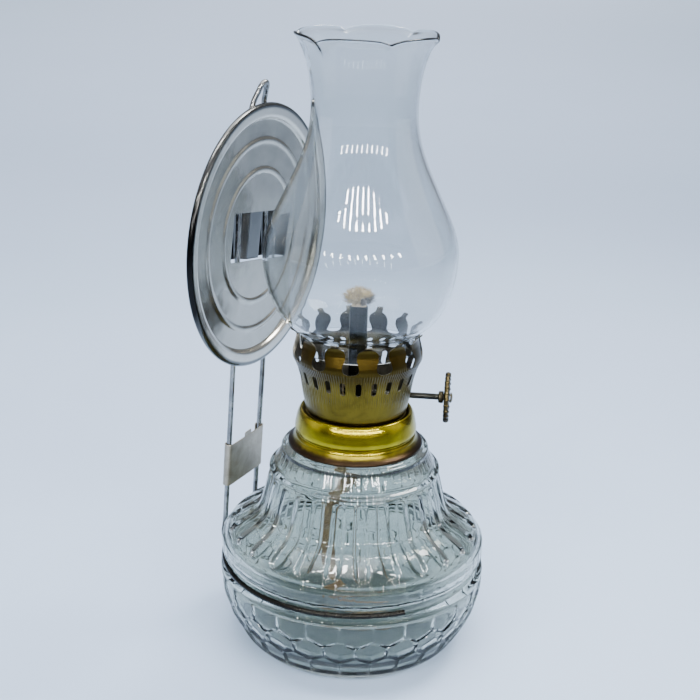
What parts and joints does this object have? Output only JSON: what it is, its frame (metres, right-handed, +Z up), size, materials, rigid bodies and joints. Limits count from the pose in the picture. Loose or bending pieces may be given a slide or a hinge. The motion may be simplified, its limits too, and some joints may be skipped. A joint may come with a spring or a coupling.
{
  "type": "oil lamp",
  "caption": "Glass kerosene lamp with a brass screw-in flat-wick burner, crimped glass chimney and a sliding tin reflector on a wire wall hanger.",
  "frame": {"origin": "centre of the font's flat underside, on the lamp's axis", "axes": "+Z up along the lamp's axis, +Y towards the reflector and the wall, +X to the right seen from the front"},
  "size_m": [0.1112, 0.1119, 0.2528],
  "materials": {
    "font_glass": "clear pressed glass with a faint grey-green tint",
    "chimney_glass": "clear thin blown glass",
    "collar_brass": "bright lacquered gold brass",
    "burner_brass": "olive-gold lacquered brass",
    "knob_brass": "antique brass",
    "tube_steel": "bare grey steel",
    "wire_steel": "drawn grey steel wire",
    "tinplate": "polished tinplate",
    "dull_tin": "dull tinplate",
    "cement": "set plaster",
    "gasket_rubber": "black rubber",
    "wick_cotton": "woven cotton, oil-stained"
  },
  "bodies": {
    "font": {"font": "font_glass", "collar": "collar_brass", "collar_cement": "cement"},
    "gasket": {"burner_gasket": "gasket_rubber"},
    "burner": {"burner_base": "burner_brass", "gallery": "burner_brass", "wick_tube": "tube_steel", "spindle_housing": "dull_tin"},
    "spindle": {"wick_shaft": "tube_steel", "sprocket_wheel_1": "tube_steel", "sprocket_wheel_2": "tube_steel", "knob_hub": "tube_steel", "knob_wheel": "knob_brass", "knob_rivet": "knob_brass"},
    "wick": {"wick": "wick_cotton"},
    "chimney": {"chimney": "chimney_glass"},
    "hanger": {"hanger_wire": "wire_steel", "hanger_clip_plate": "dull_tin"},
    "reflector": {"reflector_disc": "tinplate"}
  },
  "joints": [
    {"name": "burner_rise", "type": "slide", "parent": "font", "child": "gasket", "axis": [0, 0, 1], "range_m": [0, 0.0069]},
    {"name": "burner_turn", "type": "hinge", "parent": "gasket", "child": "burner", "pos_m": [0, 0, 0.0985], "axis": [0, 0, 1], "range_deg": [0, 720]},
    {"name": "wick_knob", "type": "hinge", "parent": "burner", "child": "spindle", "pos_m": [0.00428, 0.00156, 0.1071], "axis": [0.342, -0.9397, 0], "range_deg": [-70, 140]},
    {"name": "wick_rise", "type": "slide", "parent": "burner", "child": "wick", "axis": [0, 0, 1], "range_m": [-0.008, 0.004]},
    {"name": "chimney_lift", "type": "slide", "parent": "burner", "child": "chimney", "axis": [0, 0, 1], "range_m": [0, 0.04]},
    {"name": "hanger_turn", "type": "hinge", "parent": "font", "child": "hanger", "pos_m": [0, 0, 0.0364], "axis": [0, 0, 1], "continuous": true},
    {"name": "reflector_slide", "type": "slide", "parent": "hanger", "child": "reflector", "axis": [0, -0.0297, 0.9996], "range_m": [-0.03, 0]}
  ],
  "couplings": [
    {"joint": "burner_rise", "follows": "burner_turn", "m_per_rad": 0.00054113},
    {"joint": "wick_rise", "follows": "wick_knob", "m_per_rad": -0.00325}
  ]
}
